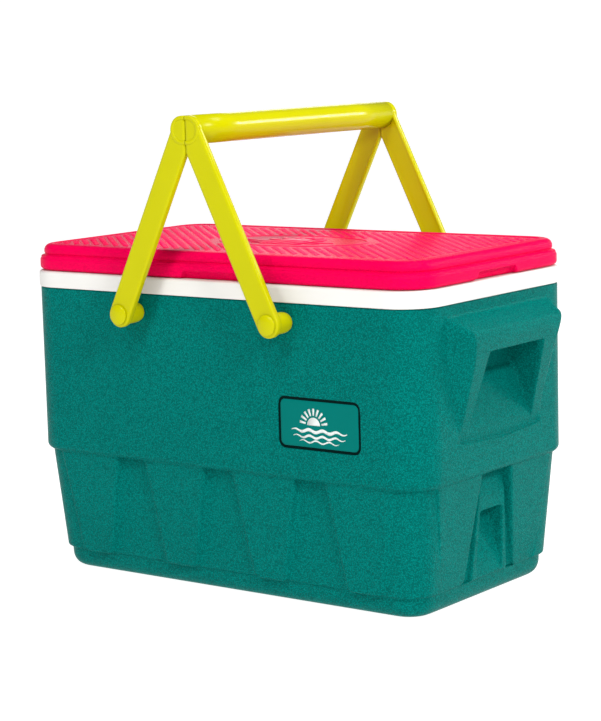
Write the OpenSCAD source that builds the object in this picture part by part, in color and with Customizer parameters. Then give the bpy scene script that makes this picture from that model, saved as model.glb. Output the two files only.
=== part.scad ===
// Insulated picnic chest with a lift-off lid and two swing-down carrying handles.
// Frame: origin on the floor under the middle of the chest, +X along its length,
// +Y from the front wall to the back wall, +Z up. Handles are drawn closed.

/* [Chest] */
// Length of the white rim
rim_l = 468; // [452:2:480]
// Depth of the white rim, front to back
rim_d = 264.4; // [256:0.4:272]
// Corner radius of the rim, seen from above
rim_r = 36; // [34:1:40]
// Height of the rim's upper face
rim_z = 299.5; // [296:0.5:302]
// Height of the rim band
band_h = 16; // [12:1:20]
// Height of the lower edge of the upper wall
skirt_z = 120.5; // [116:0.5:126]
// Height of the plinth the chest stands on
plinth_z = 19.5; // [16:0.5:22]

/* [Walls] */
// Wall thickness of the outer shell
shell_t = 3; // [2.5:0.5:3]
// Wall thickness of the inner liner
liner_t = 2.5; // [2:0.5:3]
// Wall thickness of the lid cover
lid_t = 2.5; // [2:0.5:3]
// Half length of the cavity at its mouth
mouth_x = 208; // [204:1:208]
// Half depth of the cavity at its mouth
mouth_y = 112.3; // [108:0.1:112.3]
// Height of the cavity floor
floor_z = 26; // [24:1:34]

/* [Lid] */
// Height of the lid above the rim
lid_h = 25.5; // [24:0.5:28]
// Height of the lid's lower flange
flange_h = 14.5; // [13:0.5:16]
// Width of a finger notch in the flange
notch_w = 72; // [60:2:80]
// Height of a finger notch
notch_h = 8; // [6:0.5:9]
// Depth of the lid's plug inside the cavity
plug_h = 14; // [10:1:18]

/* [Handles] */
// Distance of a handle pivot from the middle of the chest
pivot_x = 88; // [80:1:96]
// Height of the handle pivots
pivot_z = 266; // [263:0.5:268]
// Height of the middle of the closed grip
grip_z = 439.2; // [431:0.2:445]
// Width of the closed grip
grip_w = 33.4; // [30:0.2:36]
// Height of the closed grip
grip_h = 26.4; // [24:0.2:28]
// Width of a handle leg
leg_w = 24; // [20:1:26]
// Thickness of a handle leg
leg_t = 7.5; // [6:0.5:8]
// Gap between the two halves of the closed grip
grip_gap = 0.6; // [0.4:0.1:1]

/* [Badge] */
// Length of the badge plate
badge_l = 90; // [80:1:94]
// Height of the badge plate
badge_h = 46; // [40:1:48]
// Distance of the badge from the middle of the front wall
badge_x = 122.6; // [100:0.2:124]
// Height of the middle of the badge
badge_z = 174.2; // [170:0.2:178]

/* [Hidden] */

$fn = 32;
slip = 0.3;             // gap between faces that part or slide
lap = 0.6;              // how far joined shapes of one piece run into each other
rim_thin = 0.2;         // height of the thin plans that a taper is hulled from
teal = [0.01, 0.47, 0.44];
pink = [0.93, 0.05, 0.32];
lime = [0.84, 0.83, 0.02];
white = [0.91, 0.9, 0.88];
foam = [0.93, 0.88, 0.72];

rim_hx = rim_l / 2;
rim_hy = rim_d / 2;
band_t = 2.5;
band_z = rim_z - band_h;

// Upper wall of the outer shell, and its narrower neck inside the band
wall_in = 1.3;
wall_hx = rim_hx - wall_in;
wall_hy = rim_hy - wall_in;
wall_r = rim_r - wall_in;
neck_in = band_t + slip;
wall_z = rim_z - 4;
lip_in = 4;
lip_h = 5;
low_wall = shell_t + 1;

// Lower body: inset of its recessed faces from the rim, and of the plinth
low_top_in = 7.6;
low_foot_in = 15.6;
plinth_in = 18.5;
sole_in = 24.5;
plinth_round_z = 8;
low_r = 27;
plinth_r = 25;
sole_r = 17;
sole_wall = 3;

// Raised pads on the lower body
pad_pitch = 107.4;
pad_top_w = 73.5;
pad_foot_w = 37;
pad_top_in = 5.2;
pad_foot_in = 12.4;
end_pad_foot_in = 16.4;
pad_foot_z = 21;
pad_depth = 12;
end_pad_y = 61;
front_pad_x = [-1.5 * pad_pitch, -0.5 * pad_pitch, 0.5 * pad_pitch, 1.5 * pad_pitch];

// Handle brackets moulded on the end walls: [distance from the wall, height]
bracket_profile = [[0, 272], [17, 264], [22, 258], [22.4, 251], [20, 238], [0, 165.5]];
bracket_top_y = 86.5;
bracket_foot_y = 71;
bracket_slope = 7.5;    // how much narrower its outer face is at the top
scoop_roof_z = 238;
scoop_roof_y = 46;
scoop_foot_y = 55;
scoop_back_x = wall_hx - 19.2;
scoop_crest_x = wall_hx - 15.1;
scoop_crest_z = 211;
scoop_sill_z = 166;
scoop_out_x = wall_hx + 30;

// Small frame and recess low on the end walls
end_floor_top_x = rim_hx - 16;
end_floor_foot_x = rim_hx - 19.5;
frame_top_z = 98.5;
frame_foot_z = 21;
frame_top_x = rim_hx - 11.2;
frame_foot_x = rim_hx - 15.9;
frame_top_y = 23.4;
frame_foot_y = 31;
niche_roof_z = 84.5;
niche_roof_y = 18.3;
niche_foot_y = 22.8;
niche_back_x = rim_hx - 28;
backing_t = 2.4;

// Liner
liner_foot_x = mouth_x - 11;
liner_foot_y = mouth_y - 17;
liner_r = 26;
foam_gap = 0.3;

// Lid
lid_z = rim_z + slip;
flange_in = 1.5;
crown_in = 5.5;
crown_top_in = 12.5;
lid_top_z = rim_z + lid_h;
crown_z = lid_z + flange_h;
crown_round_z = lid_top_z - 6;
panel_in = 15;
panel_drop = 0.8;
notch_slant = 5.5;
plug_gap = 1.2;
pan_t = 2;
pan_z = rim_z + slip;
plug_z = rim_z - plug_h;

// Handles
leg_in_y = wall_hy + 20.1;
leg_out_y = leg_in_y + leg_t;
leg_r = leg_w / 2;
eye_r = leg_r + 0.2;
grip_r = grip_h / 2;
grip_c = grip_w / 2 - grip_r;
shaft_r = 4;
run_gap = 0.06;
cap_r = 9.75;
cap_h = 3.2;
hub_r = 10;
hub_flare = 1.5;
retainer_r = 9;
retainer_h = 4;
leg_dx = pivot_x - grip_c;
leg_dz = grip_z - pivot_z;
leg_len = norm([leg_dx, leg_dz]);
leg_tilt = atan2(leg_dz, leg_dx);

badge_r = 5;
badge_recess = 2;
badge_margin = 2;
badge_t = 1.4;

// Upright prism on a rectangle with round corners, exact arcs.
module slab(hx, hy, r, z0, z1) {
    translate([0, 0, z0]) linear_extrude(z1 - z0) round_rect(hx, hy, r);
}

module round_rect(hx, hy, r) {
    square([2 * hx, 2 * (hy - r)], center = true);
    square([2 * (hx - r), 2 * hy], center = true);
    for (x = [-1, 1], y = [-1, 1]) translate([x * (hx - r), y * (hy - r)]) circle(r);
}

// Slab of the rim's plan, moved inwards by d.
module inset_slab(d, r, z0, z1) {
    slab(rim_hx - d, rim_hy - d, r, z0, z1);
}

// Solid that tapers between two plans [inset, corner radius, height], top one first.
module taper(top, foot, grow = 0) {
    hull() {
        inset_slab(top[0] - grow, top[1] + grow, top[2] - rim_thin, top[2]);
        inset_slab(foot[0] - grow, foot[1] + grow, foot[2], foot[2] + rim_thin);
    }
}

module both_ends() {
    children();
    mirror([1, 0, 0]) children();
}

module both_sides() {
    children();
    mirror([0, 1, 0]) children();
}

// Outline in X and Z, extruded along Y.
module along_y(points, half_l) {
    translate([0, half_l, 0]) rotate([90, 0, 0]) linear_extrude(2 * half_l) polygon(points);
}

// Outline in Y and Z, extruded along X from x0 to x1.
module along_x(points, x0, x1) {
    translate([x0, 0, 0]) rotate([90, 0, 90]) linear_extrude(x1 - x0) polygon(points);
}

// Symmetric trapezoid, half widths a at height za and b at height zb.
function trapezoid(a, za, b, zb) = [[-a, za], [a, za], [b, zb], [-b, zb]];

// ---- outer shell ----

module lower_body(grow = 0) {
    taper([low_top_in, low_r, skirt_z + lap], [low_foot_in, low_r - 2, plinth_z], grow);
}

module plinth() {
    inset_slab(plinth_in, plinth_r, plinth_round_z, plinth_z + lap);
    taper([plinth_in, plinth_r, plinth_round_z + lap], [sole_in, sole_r, 0]);
}

// Front pads: a wedge in Y and Z, cut to a trapezoid in X and Z.
module front_pads() {
    top_y = rim_hy - pad_top_in;
    foot_y = rim_hy - pad_foot_in;
    wedge = [[-top_y, skirt_z + lap], [-foot_y, pad_foot_z],
        [-foot_y + pad_depth, pad_foot_z], [-top_y + pad_depth, skirt_z + lap]];
    for (x = front_pad_x) intersection() {
        along_x(wedge, x - pad_top_w, x + pad_top_w);
        translate([x, 0, 0])
            along_y(trapezoid(pad_top_w / 2, skirt_z + lap, pad_foot_w / 2, pad_foot_z), rim_hy);
    }
}

module end_pads() {
    top_x = rim_hx - pad_top_in;
    foot_x = rim_hx - end_pad_foot_in;
    wedge = [[top_x, skirt_z + lap], [foot_x, pad_foot_z],
        [foot_x - pad_depth, pad_foot_z], [top_x - pad_depth, skirt_z + lap]];
    for (y = [-end_pad_y, end_pad_y]) intersection() {
        along_y(wedge, rim_hy);
        translate([0, y, 0])
            along_x(trapezoid(pad_top_w / 2, skirt_z + lap, pad_foot_w / 2, pad_foot_z), 0, rim_hx);
    }
}

// Solid wedge of the handle bracket, its two side faces slanted.
module bracket() {
    top_z = bracket_profile[0][1];
    foot_z = bracket_profile[5][1];
    outline = concat([[wall_hx - 1, top_z]], [for (p = bracket_profile) [wall_hx + p[0], p[1]]],
        [[wall_hx - 1, foot_z]]);
    lean = atan2(bracket_top_y - bracket_foot_y, top_z - foot_z);
    splay = atan2(bracket_slope, bracket_profile[2][0]);
    difference() {
        along_y(outline, bracket_top_y + 1);
        both_sides() translate([wall_hx, bracket_foot_y, foot_z]) rotate([-lean, 0, 0]) rotate([0, 0, -splay])
            translate([-rim_d, 0, -rim_d]) cube([2 * rim_d, rim_d, 2 * rim_d]);
    }
}

// Space behind and under the bracket where the fingers go.
module hand_scoop(extra = 0) {
    profile = [
        [scoop_out_x, scoop_roof_z + extra], [scoop_back_x - extra, scoop_roof_z + extra],
        [scoop_back_x - extra, scoop_crest_z + 4], [scoop_crest_x - extra, scoop_crest_z],
        [wall_hx - extra, scoop_sill_z], [scoop_out_x, scoop_sill_z]
    ];
    intersection() {
        along_y(profile, rim_hy);
        along_x(trapezoid(scoop_roof_y + extra, scoop_roof_z + extra, scoop_foot_y + extra, scoop_sill_z),
            0, scoop_out_x);
    }
}

// Recessed panel between the end pads, which holds the small frame.
module end_recess() {
    profile = [[end_floor_top_x, skirt_z], [rim_hx, skirt_z],
        [rim_hx, pad_foot_z], [end_floor_foot_x, pad_foot_z]];
    inner_top = end_pad_y - pad_top_w / 2;
    inner_foot = end_pad_y - pad_foot_w / 2;
    intersection() {
        along_y(profile, rim_hy);
        along_x(trapezoid(inner_top, skirt_z, inner_foot, pad_foot_z), 0, rim_hx);
    }
}

module end_frame() {
    profile = [[end_floor_top_x, skirt_z - 1], [frame_top_x, frame_top_z], [frame_foot_x, frame_foot_z],
        [end_floor_foot_x - lap, frame_foot_z], [end_floor_top_x - lap, skirt_z - 1]];
    intersection() {
        along_y(profile, rim_hy);
        along_x(trapezoid(frame_top_y - 2, skirt_z, frame_foot_y, frame_foot_z), 0, rim_hx);
    }
}

module end_niche(extra = 0) {
    profile = [[rim_hx, niche_roof_z + extra], [niche_back_x - extra, niche_roof_z + extra],
        [niche_back_x - extra, niche_roof_z - 8], [frame_foot_x - extra, frame_foot_z + 2],
        [rim_hx, frame_foot_z + 2]];
    intersection() {
        along_y(profile, rim_hy);
        along_x(trapezoid(niche_roof_y + extra, niche_roof_z + extra, niche_foot_y + extra, frame_foot_z),
            0, rim_hx);
    }
}

// Backing walls of the scoops and niches, inside the end walls.
module scoop_backing() {
    difference() {
        union() {
            hand_scoop(backing_t);
            end_niche(backing_t);
        }
        translate([wall_hx - shell_t / 2, -rim_hy, skirt_z]) cube([rim_hx, rim_d, rim_z]);
        translate([frame_foot_x - 3, -rim_hy, 0]) cube([rim_hx, rim_d, skirt_z]);
    }
}

// Space between the shell and the liner, kept clear of the shell by gap, up to top_z.
module shell_hollow(gap, top_z) {
    ledge_z = skirt_z + shell_t + gap;
    foot_z = plinth_z + shell_t + gap;
    low_gap = low_wall + gap;
    inset_slab(neck_in + shell_t + gap, rim_r - neck_in - shell_t - gap, band_z - 2 * shell_t, top_z);
    inset_slab(wall_in + shell_t + gap, wall_r - shell_t - gap, ledge_z, band_z - slip - shell_t - gap);
    difference() {
        union() {
            inset_slab(low_top_in + low_gap, low_r - low_gap, skirt_z - lap, ledge_z + lap);
            difference() {
                lower_body(-low_gap);
                inset_slab(0, rim_r, plinth_z - lap, foot_z);
            }
            inset_slab(plinth_in + low_gap, plinth_r - low_gap, plinth_round_z + gap, foot_z + lap);
            inset_slab(sole_in + sole_wall + gap, sole_r - sole_wall - gap, low_gap, plinth_round_z + 1);
        }
        both_ends() translate([end_floor_foot_x - low_gap, -rim_hy, 0]) cube([rim_hx, rim_d, ledge_z]);
    }
}

module badge_pocket() {
    translate([badge_x, 0, badge_z]) rotate([90, 0, 0]) translate([0, 0, wall_hy - badge_recess])
        linear_extrude(badge_recess + 1)
            round_rect(badge_l / 2 + badge_margin, badge_h / 2 + badge_margin, badge_r + badge_margin);
}

module pivot_bores() {
    for (x = [-pivot_x, pivot_x]) translate([x, rim_d, pivot_z]) rotate([90, 0, 0])
        cylinder(r = shaft_r + run_gap, h = 2 * rim_d);
}

module outer_shell() {
    color(teal) difference() {
        union() {
            difference() {
                union() {
                    inset_slab(wall_in, wall_r, skirt_z + lip_h, band_z - slip);
                    inset_slab(neck_in, rim_r - neck_in, band_z - 1, wall_z);
                    inset_slab(wall_in + lip_in / 2, wall_r - lip_in / 2, skirt_z, skirt_z + lip_h + lap);
                    lower_body();
                    plinth();
                    both_sides() front_pads();
                    both_ends() end_pads();
                }
                shell_hollow(0, rim_z);
                both_ends() end_recess();
            }
            both_ends() {
                bracket();
                end_frame();
                scoop_backing();
            }
        }
        both_ends() {
            hand_scoop();
            end_niche();
        }
        badge_pocket();
        pivot_bores();
    }
}

// ---- liner and insulation ----

module tub(grow, z0, z1) {
    hull() {
        slab(liner_foot_x + grow, liner_foot_y + grow, liner_r - 4 + grow, z0, z0 + 0.02);
        slab(mouth_x + grow, mouth_y + grow, liner_r + grow, z1 - 0.02, z1);
    }
}

module liner() {
    color(white) difference() {
        union() {
            tub(liner_t, floor_z - liner_t, rim_z - lap);
            difference() {
                inset_slab(0, rim_r, band_z, rim_z);
                inset_slab(band_t, rim_r - band_t, band_z - 1, rim_z - 3.5);
            }
        }
        tub(0, floor_z, rim_z + 0.02);
    }
}

module body_foam() {
    color(foam) difference() {
        shell_hollow(foam_gap, wall_z - 1);
        tub(liner_t + foam_gap, floor_z - liner_t - foam_gap, rim_z);
        both_ends() {
            hand_scoop(backing_t + foam_gap);
            end_niche(backing_t + foam_gap);
        }
        for (x = [-pivot_x, pivot_x]) translate([x, rim_d, pivot_z]) rotate([90, 0, 0])
            cylinder(r = retainer_r + 1, h = 2 * rim_d);
    }
}

module badge_plate() {
    color(teal) translate([badge_x, 0, badge_z]) rotate([90, 0, 0])
        translate([0, 0, wall_hy - badge_recess]) linear_extrude(badge_t)
            round_rect(badge_l / 2, badge_h / 2, badge_r);
}

// ---- lid ----

// Finger notches: a slanted trapezoid cut on each of the four sides.
module finger_notches() {
    cut = trapezoid(notch_w / 2, lid_z - 1, notch_w / 2 - notch_slant, lid_z + notch_h);
    intersection() {
        difference() {
            inset_slab(-1, rim_r, lid_z - 1, lid_z + notch_h);
            inset_slab(flange_in + lid_t + 5, rim_r - lid_t - 5, lid_z - 2, lid_z + notch_h + 1);
        }
        union() {
            along_x(cut, -rim_l, rim_l);
            along_y(cut, rim_l);
        }
    }
}

module lid_cover() {
    color(pink) difference() {
        union() {
            inset_slab(flange_in, rim_r - flange_in, lid_z, crown_z);
            inset_slab(crown_in, rim_r - crown_in, crown_z - lap, crown_round_z);
            taper([crown_top_in, rim_r - crown_top_in, lid_top_z],
                [crown_in, rim_r - crown_in, crown_round_z - lap]);
        }
        inset_slab(crown_in + lid_t, rim_r - crown_in - lid_t, lid_z + lid_t, crown_round_z - lap);
        inset_slab(crown_top_in + lid_t, rim_r - crown_top_in - lid_t, crown_z,
            lid_top_z - lid_t - panel_drop);
        inset_slab(flange_in + 6, rim_r - flange_in - 6, lid_z - 1, lid_z + lid_t + lap);
        inset_slab(panel_in, rim_r - panel_in, lid_top_z - panel_drop, lid_top_z + 1);
        finger_notches();
    }
}

module lid_liner() {
    plug_hx = mouth_x - plug_gap;
    plug_hy = mouth_y - plug_gap;
    color(white) difference() {
        union() {
            inset_slab(flange_in + 6 + foam_gap + 2, rim_r - flange_in - 8.3, pan_z, pan_z + pan_t);
            slab(plug_hx, plug_hy, liner_r - plug_gap, plug_z, pan_z + lap);
        }
        slab(plug_hx - pan_t, plug_hy - pan_t, liner_r - plug_gap - pan_t, plug_z + pan_t, pan_z + pan_t + 1);
    }
}

module lid_foam() {
    gap = pan_t + foam_gap;
    color(foam) slab(mouth_x - plug_gap - gap, mouth_y - plug_gap - gap, liner_r - plug_gap - gap,
        plug_z + gap, lid_top_z - lid_t - panel_drop - foam_gap);
}

// ---- handles and their pivots ----

// Side outline of the half grip on the left of the seam, centred on the grip.
module half_grip_outline() {
    intersection() {
        union() {
            translate([-grip_c, 0]) circle(grip_r);
            translate([-grip_c, -grip_r]) square([grip_c, grip_h]);
        }
        translate([-grip_w, -grip_h]) square([grip_w - grip_gap / 2, 2 * grip_h]);
    }
}

// Side outline of the leg, from the pivot to the grip, pivot at the origin.
module leg_outline() {
    circle(eye_r);
    rotate(leg_tilt) translate([0, -leg_r]) square([leg_len, leg_w]);
}

// Turns an outline in X and Z into a plate from y0 to y1.
module plate_y(y0, y1) {
    translate([0, y1, 0]) rotate([90, 0, 0]) linear_extrude(y1 - y0) children();
}

module handle() {
    half_l = leg_out_y;
    difference() {
        union() {
            translate([0, 0, grip_z]) plate_y(-half_l, half_l) half_grip_outline();
            both_sides() intersection() {
                translate([-pivot_x, 0, pivot_z]) plate_y(leg_in_y, leg_out_y) leg_outline();
                translate([-rim_l - grip_gap / 2, 0, 0]) cube([rim_l, rim_l, grip_z + grip_r]);
            }
        }
        translate([-pivot_x, rim_d, pivot_z]) rotate([90, 0, 0])
            cylinder(r = shaft_r + run_gap, h = 2 * rim_d);
    }
}

module handle_left() {
    color(lime) handle();
}

module handle_right() {
    color(lime) mirror([1, 0, 0]) handle();
}

// Places a piece drawn along +Z at a pivot, pointing out of the front or back wall.
module at_pivot(side_x, side_y) {
    translate([side_x * pivot_x, side_y * wall_hy, pivot_z]) rotate([-side_y * 90, 0, 0]) children();
}

module pin() {
    head_z = leg_out_y - wall_hy + slip;
    tail_h = shell_t + retainer_h + 2;
    sphere_r = (cap_r * cap_r + cap_h * cap_h) / (2 * cap_h);
    color(lime) {
        translate([0, 0, -tail_h]) cylinder(r = shaft_r, h = tail_h + head_z + lap);
        intersection() {
            translate([0, 0, head_z]) cylinder(r = cap_r, h = cap_h);
            translate([0, 0, head_z + cap_h - sphere_r]) sphere(sphere_r);
        }
    }
}

module hub() {
    length = leg_in_y - wall_hy - slip;
    color(lime) rotate_extrude() polygon([
        [shaft_r + run_gap, 0], [hub_r + hub_flare, 0], [hub_r, 2 * hub_flare],
        [hub_r, length], [shaft_r + run_gap, length]
    ]);
}

module retainer() {
    color("gray") translate([0, 0, -shell_t - retainer_h]) difference() {
        cylinder(r = retainer_r, h = retainer_h);
        translate([0, 0, -1]) cylinder(r = shaft_r + run_gap, h = retainer_h + 2);
    }
}

outer_shell();
liner();
body_foam();
badge_plate();
lid_cover();
lid_liner();
lid_foam();
handle_left();
handle_right();
at_pivot(-1, -1) pin();  // pivot_pin_front_left
at_pivot(1, -1) pin();  // pivot_pin_front_right
at_pivot(-1, 1) pin();  // pivot_pin_back_left
at_pivot(1, 1) pin();  // pivot_pin_back_right
at_pivot(-1, -1) hub();  // pivot_hub_front_left
at_pivot(1, -1) hub();  // pivot_hub_front_right
at_pivot(-1, 1) hub();  // pivot_hub_back_left
at_pivot(1, 1) hub();  // pivot_hub_back_right
at_pivot(-1, -1) retainer();  // pin_retainer_front_left
at_pivot(1, -1) retainer();  // pin_retainer_front_right
at_pivot(-1, 1) retainer();  // pin_retainer_back_left
at_pivot(1, 1) retainer();  // pin_retainer_back_right
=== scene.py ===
"""Looks of the picnic chest: detailed meshes, materials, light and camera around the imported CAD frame."""

import math

import bmesh
import bpy
from mathutils import Matrix, Vector


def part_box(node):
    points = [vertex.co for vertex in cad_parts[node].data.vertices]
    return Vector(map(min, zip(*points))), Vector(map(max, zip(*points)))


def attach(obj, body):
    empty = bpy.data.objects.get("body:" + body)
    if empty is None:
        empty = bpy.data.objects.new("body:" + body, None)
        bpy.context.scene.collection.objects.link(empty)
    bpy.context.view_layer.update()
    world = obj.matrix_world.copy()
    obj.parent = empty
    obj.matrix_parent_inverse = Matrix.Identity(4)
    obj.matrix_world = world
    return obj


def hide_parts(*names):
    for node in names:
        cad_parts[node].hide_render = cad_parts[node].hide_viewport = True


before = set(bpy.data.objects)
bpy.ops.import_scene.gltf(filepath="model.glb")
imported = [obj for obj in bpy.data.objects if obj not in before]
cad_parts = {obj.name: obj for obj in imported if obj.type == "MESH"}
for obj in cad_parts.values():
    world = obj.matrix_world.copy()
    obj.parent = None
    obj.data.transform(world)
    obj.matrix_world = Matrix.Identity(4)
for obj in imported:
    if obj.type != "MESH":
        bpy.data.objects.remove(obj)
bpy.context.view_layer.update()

MM = 0.001

# ---- dimensions, in millimetres, taken from the frame ----


def box_mm(node):
    """Lowest and highest corner of a CAD node, in millimetres."""
    low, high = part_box(node)
    return low / MM, high / MM


LINER_HIGH = box_mm("liner")[1]
SHELL_HIGH = box_mm("outer_shell")[1]
LID_LOW, LID_HIGH = box_mm("lid_cover")
GRIP_HIGH = box_mm("handle_left")[1]
BADGE_LOW, BADGE_HIGH = box_mm("badge_plate")
BADGE_X = (BADGE_LOW.x + BADGE_HIGH.x) / 2
BADGE_Z = (BADGE_LOW.z + BADGE_HIGH.z) / 2
BADGE_HX = (BADGE_HIGH.x - BADGE_LOW.x) / 2
BADGE_HZ = (BADGE_HIGH.z - BADGE_LOW.z) / 2

RIM_X = LINER_HIGH.x
RIM_Y = LINER_HIGH.y
RIM_Z = LINER_HIGH.z
RIM_R = 36.0
BAND_H = 16.0
WALL_IN = 1.3
NECK_IN = 2.8
WALL_R = RIM_R - WALL_IN
WALL_TOP = SHELL_HIGH.z
SKIRT_Z = 120.5
BEVEL = 1.2


def lerp(a, b, t):
    return a + (b - a) * t


def table(points, x):
    """Straight-line interpolation in [(x, value), ...], which is in rising x; constant past its ends."""
    if x <= points[0][0]:
        return points[0][1]
    for (x0, v0), (x1, v1) in zip(points, points[1:]):
        if x <= x1:
            return lerp(v0, v1, (x - x0) / (x1 - x0))
    return points[-1][1]


# ---- mesh building ----


def mesh_object(name, verts_mm, faces, material, body, replaces=()):
    """A smooth-shaded object from points in millimetres, riding on a CAD body."""
    mesh = bpy.data.meshes.new(name)
    mesh.from_pydata([Vector(v) * MM for v in verts_mm], [], faces)
    bm = bmesh.new()
    bm.from_mesh(mesh)
    bmesh.ops.remove_doubles(bm, verts=bm.verts, dist=1e-7)
    bmesh.ops.recalc_face_normals(bm, faces=bm.faces)
    bm.to_mesh(mesh)
    bm.free()
    mesh.polygons.foreach_set("use_smooth", [True] * len(mesh.polygons))
    mesh.materials.append(material)
    obj = bpy.data.objects.new(name, mesh)
    bpy.context.scene.collection.objects.link(obj)
    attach(obj, body)
    if replaces:
        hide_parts(*replaces)
    return obj


def subdivide(obj, levels):
    mod = obj.modifiers.new("smooth", "SUBSURF")
    mod.levels = levels
    mod.render_levels = levels
    return mod


def solidify(obj, thickness_mm):
    """Wall of a sheet whose visible side is the one its normals point from."""
    mod = obj.modifiers.new("wall", "SOLIDIFY")
    mod.thickness = thickness_mm * MM
    mod.offset = -1
    return mod


def loops_to_mesh(loops, cap_first=False, cap_last=False):
    """Vertices and faces of closed loops joined one to the next."""
    count = len(loops[0])
    verts = [p for loop in loops for p in loop]
    faces = []
    for row in range(len(loops) - 1):
        for i in range(count):
            j = (i + 1) % count
            a, b = row * count, (row + 1) * count
            faces.append((a + i, a + j, b + j, b + i))
    if cap_first:
        faces.append(tuple(range(count)))
    if cap_last:
        faces.append(tuple(range((len(loops) - 1) * count, len(loops) * count)))
    return verts, faces


# ---- plan of the chest: a rectangle with round corners ----


class Plan:
    """Quarter of a rounded rectangle. Places along it are measured from the middle of the front."""

    def __init__(self, inset, radius):
        self.hx = RIM_X - inset
        self.hy = RIM_Y - inset
        self.r = radius
        self.a = self.hx - radius
        self.b = self.hy - radius
        self.total = self.a + self.b + radius * math.pi / 2

    def s_front(self, x):
        """Length along the outline to the point of the front half that has this x."""
        if x <= self.a:
            return x
        return self.a + self.r * math.asin(min(1.0, (x - self.a) / self.r))

    def s_end(self, y):
        """Length along the outline to the point of the end half that has this y."""
        if y <= self.b:
            return self.total - y
        return self.total - self.b - self.r * math.asin(min(1.0, (y - self.b) / self.r))

    def point(self, s):
        arc = self.r * math.pi / 2
        if s <= self.a:
            return s, self.hy
        if s <= self.a + arc:
            t = (s - self.a) / self.r
            return self.a + self.r * math.sin(t), self.b + self.r * math.cos(t)
        return self.hx, self.total - s


def ring(hx, hy, r, z, per_side=8, per_arc=8):
    """Closed loop round a rounded rectangle, the same count of points for every size."""
    quarter = []
    a, b = hx - r, hy - r
    for i in range(per_side):
        quarter.append((a * i / per_side, hy))
    for i in range(per_arc + 1):
        t = math.pi / 2 * i / per_arc
        quarter.append((a + r * math.sin(t), b + r * math.cos(t)))
    for i in range(1, per_side + 1):
        quarter.append((hx, b * (1 - i / per_side)))
    return mirror_quarter([(x, y, z) for x, y in quarter])


def mirror_quarter(quarter):
    """Full loop from a quarter that runs from the middle of the front to the middle of the right end."""
    front_right = [(x, -y, z) for x, y, z in quarter]
    back_right = [(x, y, z) for x, y, z in reversed(quarter[:-1])]
    back_left = [(-x, y, z) for x, y, z in quarter[1:]]
    front_left = [(-x, -y, z) for x, y, z in reversed(quarter[1:-1])]
    return front_right + back_right + back_left + front_left


# ---- outer shell: a grid of rows (height) and columns (place round the chest) ----

POCKET_FIRST = 6
POCKET_LAST = 18
POCKET_TOP_Z = 202.0
POCKET_FOOT_Z = 146.5
PADS_X = (53.7, 161.1)
END_PAD_Y = 61.0
PAD_HALF_TOP = 36.75
PAD_HALF_FOOT = 18.5
PAD_CORNER = 6.0
PAD_TOP_Z = SKIRT_Z + 0.6
PAD_FOOT_Z = 20.6
CORNER_COLUMNS = 7


def pad_half(z):
    """Half width of a raised pad at height z, with its lower corners rounded."""
    half = lerp(PAD_HALF_FOOT, PAD_HALF_TOP, (z - PAD_FOOT_Z) / (PAD_TOP_Z - PAD_FOOT_Z))
    rise = max(0.0, z - PAD_FOOT_Z)
    if rise < PAD_CORNER:
        half -= PAD_CORNER - math.sqrt(PAD_CORNER ** 2 - (PAD_CORNER - rise) ** 2)
    return half


# Upper wall, end bracket: outline of its outer face, of its foot on the wall, and of the opening
BRACKET_FOOT = [(151, 69.0), (169, 71.6), (197, 77.0), (230, 83.8), (272, 87.4)]
BRACKET_EDGE = [(166, 66.5), (229, 69.3), (249, 73.5), (260, 77.4), (267, 82.0), (272, 86.4)]
OPENING_EDGE = [(166, 55.0), (238, 46.0), (272, 42.0)]
BRACKET_OUT = [(165.5, 0), (238, 20.0), (251, 22.4), (257.4, 22.1), (259.2, 21.2), (261, 19.6), (272, 0)]
TONGUE_IN = [(166, 1.3), (209, 16.0), (211.3, 17.0), (212.8, 19.0), (214, 20.6), (238, 20.6)]
DRAFT = 1.6

# Lower end: half widths of the small frame and its niche
FRAME_EDGE = [(21, 30.5), (121, 19.9)]
NICHE_EDGE = [(21, 22.8), (84.5, 18.3), (121, 15.5)]


# Places of the columns on the front above the skirt; the badge pocket lies between two of them
FRONT_UPPER = [0, 14, 28, 42, 56, 65, 70, 74.3, 77.3, 82, 92, 107, 122.6, 138, 153, 163.2, 167.9, 171,
               175.4, 180, 185, 190, 195, 199.6]


def front_lower(z):
    half = pad_half(z)
    lines = [0]
    for middle in PADS_X:
        lines += [middle - half - 3.4, middle - half - 2.0, middle - half, middle - half + BEVEL,
                  middle - 0.44 * half, middle, middle + 0.44 * half,
                  middle + half - BEVEL, middle + half, middle + half + 2.0, middle + half + 3.4]
        if middle == PADS_X[0]:
            lines.append((PADS_X[0] + PADS_X[1]) / 2)
    return lines


FRONT_LOWER_KIND = ["gap"] + (["gap"] * 2 + ["pad"] * 7 + ["gap"] * 2 + ["gap"]) + \
    (["gap"] * 2 + ["pad"] * 7 + ["wall"] * 2)


def end_upper(z):
    opening = table(OPENING_EDGE, z)
    edge = table(BRACKET_EDGE, z)
    foot = table(BRACKET_FOOT, z)
    floor = opening - DRAFT
    return [0, floor * 0.35, floor * 0.68, floor - 3.2, floor - 1.3, floor,
            opening, opening + 1.3, opening + 3.0,
            lerp(opening, edge, 0.35), lerp(opening, edge, 0.52), lerp(opening, edge, 0.68),
            edge - 3.2, edge - 1.3, edge,
            foot, foot + 1.3, foot + 3.2, 92.5, 95, 97, 99]


END_UPPER_KIND = ["tongue"] * 6 + ["leg"] * 9 + ["wall"] * 7


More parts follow.
